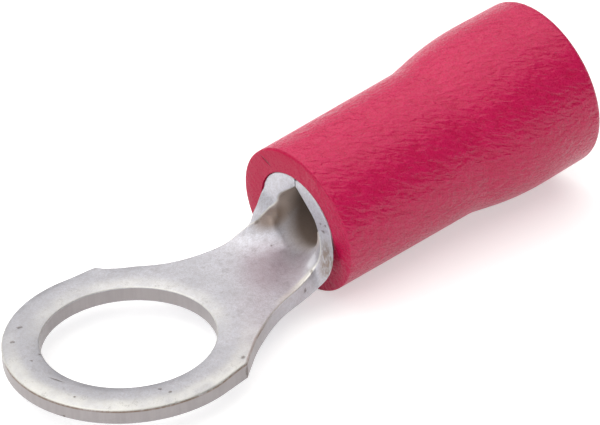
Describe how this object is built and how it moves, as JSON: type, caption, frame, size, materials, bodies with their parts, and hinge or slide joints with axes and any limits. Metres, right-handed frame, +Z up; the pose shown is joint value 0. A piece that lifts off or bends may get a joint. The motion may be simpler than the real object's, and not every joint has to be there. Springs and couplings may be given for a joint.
{
  "type": "ring terminal",
  "caption": "Insulated crimp ring terminal: a flat tinned ring and curled neck rolled into a wire barrel, with a flared red vinyl sleeve over it.",
  "frame": {"origin": "axis of the stud hole on the underside of the ring", "axes": "+Z up the stud hole's axis, +X from the ring along the terminal towards the wire entry"},
  "size_m": [0.0201, 0.0074, 0.0059],
  "materials": {
    "tinned_copper": "satin",
    "red_vinyl": "satin"
  },
  "bodies": {
    "root": {"terminal_body": "tinned_copper", "insulating_sleeve": "red_vinyl"}
  },
  "joints": []
}
